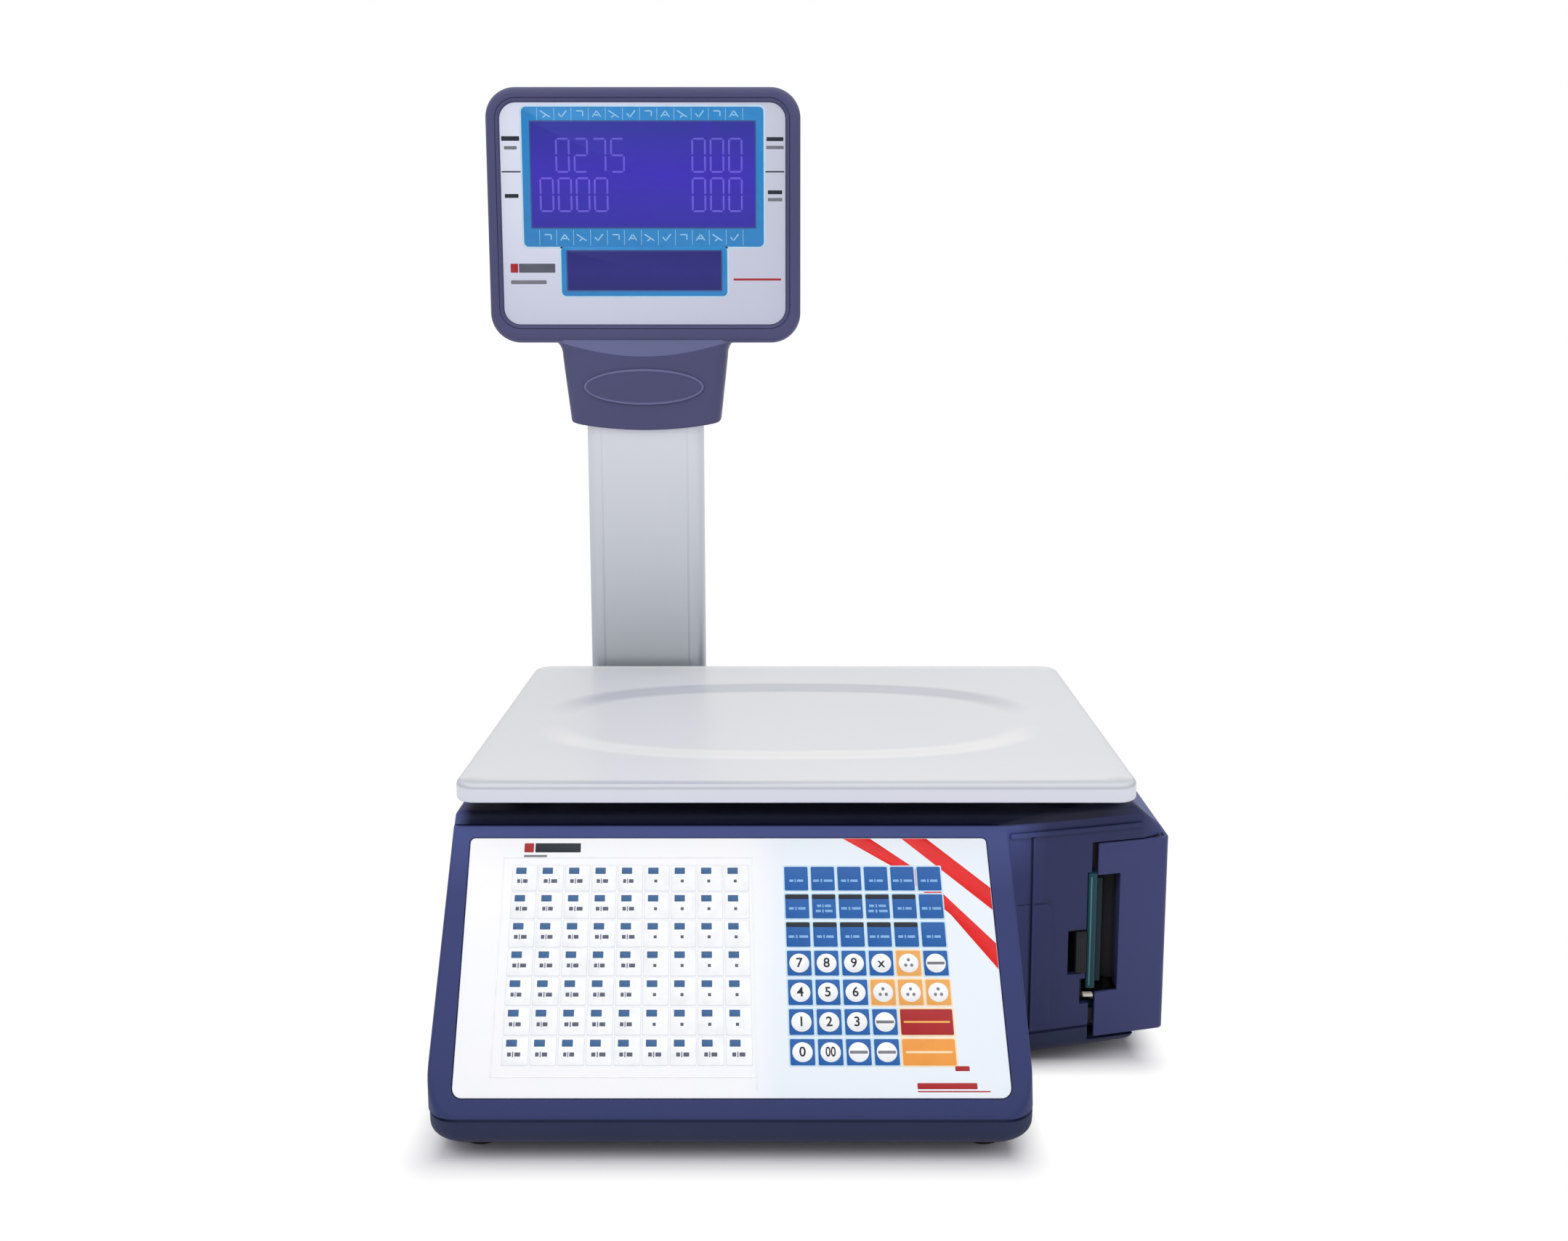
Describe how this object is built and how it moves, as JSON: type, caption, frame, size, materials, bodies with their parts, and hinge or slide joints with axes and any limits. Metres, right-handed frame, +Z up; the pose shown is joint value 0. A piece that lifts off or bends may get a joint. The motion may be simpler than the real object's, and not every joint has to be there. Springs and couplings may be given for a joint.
{
  "type": "label printing price scale",
  "caption": "Counter scale with a flat weighing tray, sloping keypad, side label printer and a two-sided display on a pole at the back.",
  "frame": {"origin": "on the standing surface under the centre of the whole scale's box", "axes": "+X to the right seen from the keypad side, +Y away from the keypad side, +Z up along the pole"},
  "size_m": [0.41, 0.373, 0.557],
  "materials": {
    "case_blue": "moulded, slightly grained",
    "head_slate": "moulded, satin",
    "steel_tray": "satin",
    "sheet_steel": "plated",
    "pole_aluminium": "satin anodised",
    "cast_metal": "die cast",
    "black_plastic": "moulded",
    "rubber": "matt",
    "overlay_white": "printed polyester, fine texture",
    "panel_silver": "printed film",
    "lcd_violet": "lit display glass",
    "teal_plastic": "moulded",
    "paper": "label paper",
    "board_green": "solder mask",
    "clear_plastic": "clear",
    "gear_white": "moulded acetal",
    "brass": "machined"
  },
  "bodies": {
    "base": {"top_case": "case_blue", "bottom_case": "case_blue", "keypad_plate": "pole_aluminium", "keypad_overlay": "overlay_white", "plu_sleeve": "clear_plastic", "chassis_plate": "cast_metal", "load_cell_foot": "cast_metal", "load_cell": "pole_aluminium", "mainboard": "board_green", "power_supply": "sheet_steel", "level_vial": "clear_plastic", "port_panel": "sheet_steel", "ac_inlet": "black_plastic", "ethernet_jack": "sheet_steel", "usb_port": "sheet_steel", "serial_port": "sheet_steel", "drawer_jack": "black_plastic", "pole": "pole_aluminium", "pole_socket": "cast_metal", "pole_screw_left": "sheet_steel", "pole_screw_right": "sheet_steel", "head_front_shell": "head_slate", "head_rear_shell": "head_slate", "head_front_panel": "panel_silver", "head_rear_panel": "panel_silver", "head_front_lcd": "lcd_violet", "head_rear_lcd": "lcd_violet", "head_front_text_lcd": "lcd_violet", "head_rear_text_lcd": "lcd_violet", "head_board": "board_green", "display_cable": "black_plastic", "printer_chassis": "sheet_steel", "stepper_motor": "black_plastic", "peel_bar": "teal_plastic", "label_sensor": "black_plastic", "roll_spindle": "black_plastic", "head_pivot_pin": "sheet_steel", "door_hinge_rod": "sheet_steel"},
    "load_spider": {"riser": "cast_metal", "tray_spider": "cast_metal", "tray_pad_1": "rubber", "tray_pad_2": "rubber", "tray_pad_3": "rubber", "tray_pad_4": "rubber"},
    "tray": {"weighing_tray": "steel_tray"},
    "levelling_foot_1": {"foot_1": "rubber"},
    "levelling_foot_2": {"foot_2": "rubber"},
    "levelling_foot_3": {"foot_3": "rubber"},
    "levelling_foot_4": {"foot_4": "rubber"},
    "rocker": {"power_rocker": "black_plastic"},
    "door": {"printer_door": "case_blue"},
    "latch": {"door_latch": "black_plastic"},
    "print_head": {"printhead_bracket": "cast_metal", "printhead": "board_green"},
    "lever": {"head_lever": "teal_plastic"},
    "platen": {"platen_roller": "rubber", "platen_gear": "gear_white"},
    "pinion": {"motor_pinion": "brass"},
    "reel": {"takeup_reel": "black_plastic"},
    "roll": {"label_roll": "paper"}
  },
  "joints": [
    {"name": "cell_deflection", "type": "slide", "parent": "base", "child": "load_spider", "axis": [0, 0, -1], "range_m": [0, 0.0004], "stiffness_N_per_m": 375000},
    {"name": "tray_lift", "type": "slide", "parent": "load_spider", "child": "tray", "axis": [0, 0, 1], "range_m": [0, 0.06]},
    {"name": "foot_1_screw", "type": "slide", "parent": "base", "child": "levelling_foot_1", "axis": [0, 0, -1], "range_m": [0, 0.008]},
    {"name": "foot_2_screw", "type": "slide", "parent": "base", "child": "levelling_foot_2", "axis": [0, 0, -1], "range_m": [0, 0.008]},
    {"name": "foot_3_screw", "type": "slide", "parent": "base", "child": "levelling_foot_3", "axis": [0, 0, -1], "range_m": [0, 0.008]},
    {"name": "foot_4_screw", "type": "slide", "parent": "base", "child": "levelling_foot_4", "axis": [0, 0, -1], "range_m": [0, 0.008]},
    {"name": "rocker_tip", "type": "hinge", "parent": "base", "child": "rocker", "pos_m": [-0.002, 0.1792, 0.059], "axis": [1, 0, 0], "range_deg": [0, 10]},
    {"name": "door_hinge", "type": "hinge", "parent": "base", "child": "door", "pos_m": [0.2005, 0.131, 0.07], "axis": [0, 0, 1], "range_deg": [0, 100]},
    {"name": "latch_slide", "type": "slide", "parent": "base", "child": "latch", "axis": [-1, 0, 0], "range_m": [0, 0.004], "stiffness_N_per_m": 400},
    {"name": "lever_turn", "type": "hinge", "parent": "base", "child": "lever", "pos_m": [0.147, -0.068, 0.07], "axis": [0, 0, 1], "range_deg": [0, 80]},
    {"name": "head_swing", "type": "hinge", "parent": "base", "child": "print_head", "pos_m": [0.146, -0.046, 0.07], "axis": [0, 0, 1], "range_deg": [-12, 0]},
    {"name": "roll_spin", "type": "hinge", "parent": "base", "child": "roll", "pos_m": [0.16, 0.06, 0.07], "axis": [0, 0, 1], "continuous": true},
    {"name": "platen_spin", "type": "hinge", "parent": "base", "child": "platen", "pos_m": [0.1765, -0.068, 0.07], "axis": [0, 0, 1], "continuous": true},
    {"name": "pinion_spin", "type": "hinge", "parent": "base", "child": "pinion", "pos_m": [0.1679, -0.0531, 0.11], "axis": [0, 0, 1], "continuous": true},
    {"name": "reel_spin", "type": "hinge", "parent": "base", "child": "reel", "pos_m": [0.143, -0.008, 0.07], "axis": [0, 0, 1], "continuous": true}
  ],
  "couplings": [
    {"joint": "platen_spin", "follows": "roll_spin", "ratio": -4.375},
    {"joint": "pinion_spin", "follows": "roll_spin", "ratio": 10.5},
    {"joint": "reel_spin", "follows": "roll_spin", "ratio": -2.5},
    {"joint": "head_swing", "follows": "lever_turn", "ratio": -0.15}
  ]
}
